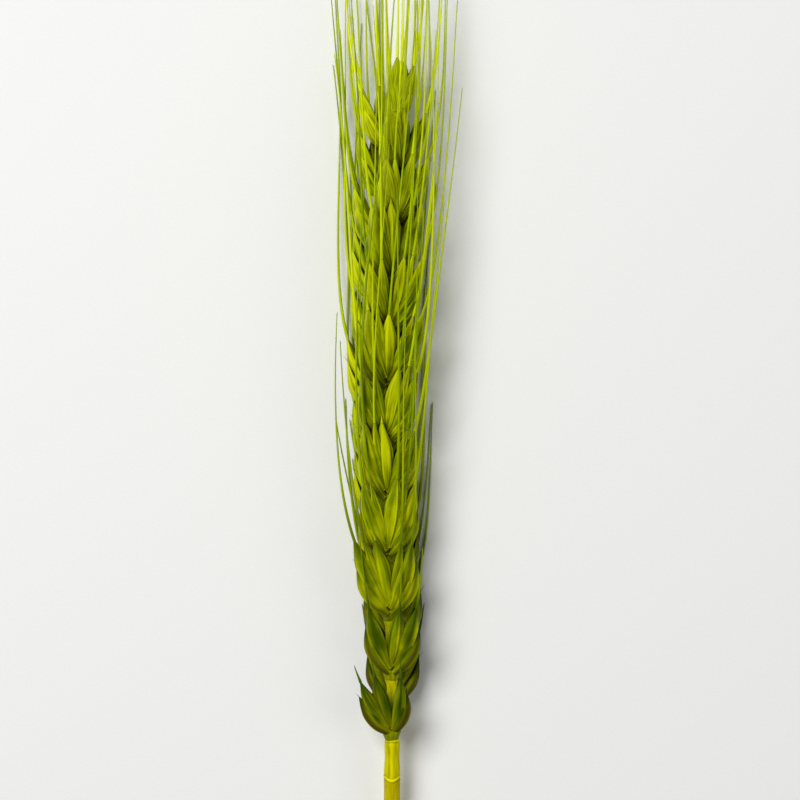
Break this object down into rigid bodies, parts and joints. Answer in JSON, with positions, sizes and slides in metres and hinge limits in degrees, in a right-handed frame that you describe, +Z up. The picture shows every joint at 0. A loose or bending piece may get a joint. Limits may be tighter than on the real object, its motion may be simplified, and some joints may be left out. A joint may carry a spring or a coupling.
{
  "type": "wheat ear",
  "caption": "Awned wheat ear lying on its side: keeled husks in two ranks on a zigzag axis, long bristles past the tip and a short cut hollow straw.",
  "frame": {"origin": "on the surface that the ear lies on, under the middle of the whole ear's bounding box", "axes": "+Y along the ear from the cut straw to the bristle tips, +Z up from the surface, +X across the ear"},
  "size_m": [0.0196, 0.1544, 0.0137],
  "materials": {
    "straw": "smooth fresh green-yellow straw, satin",
    "rachis": "fresh yellow-green stem tissue, satin",
    "husk": "fresh green husk with fine lengthwise nerves, satin"
  },
  "bodies": {
    "root": {"straw": "straw", "rachis": "rachis", "spikelet_01": "husk", "spikelet_02": "husk", "spikelet_03": "husk", "spikelet_04": "husk", "spikelet_05": "husk", "spikelet_06": "husk", "spikelet_07": "husk", "spikelet_08": "husk", "spikelet_09": "husk", "spikelet_10": "husk", "spikelet_11": "husk", "spikelet_12": "husk", "spikelet_13": "husk", "spikelet_14": "husk", "spikelet_15": "husk", "spikelet_16": "husk", "spikelet_17": "husk", "spikelet_18": "husk", "spikelet_19": "husk", "spikelet_20": "husk", "spikelet_21": "husk", "spikelet_22": "husk", "spikelet_23": "husk"}
  },
  "joints": []
}
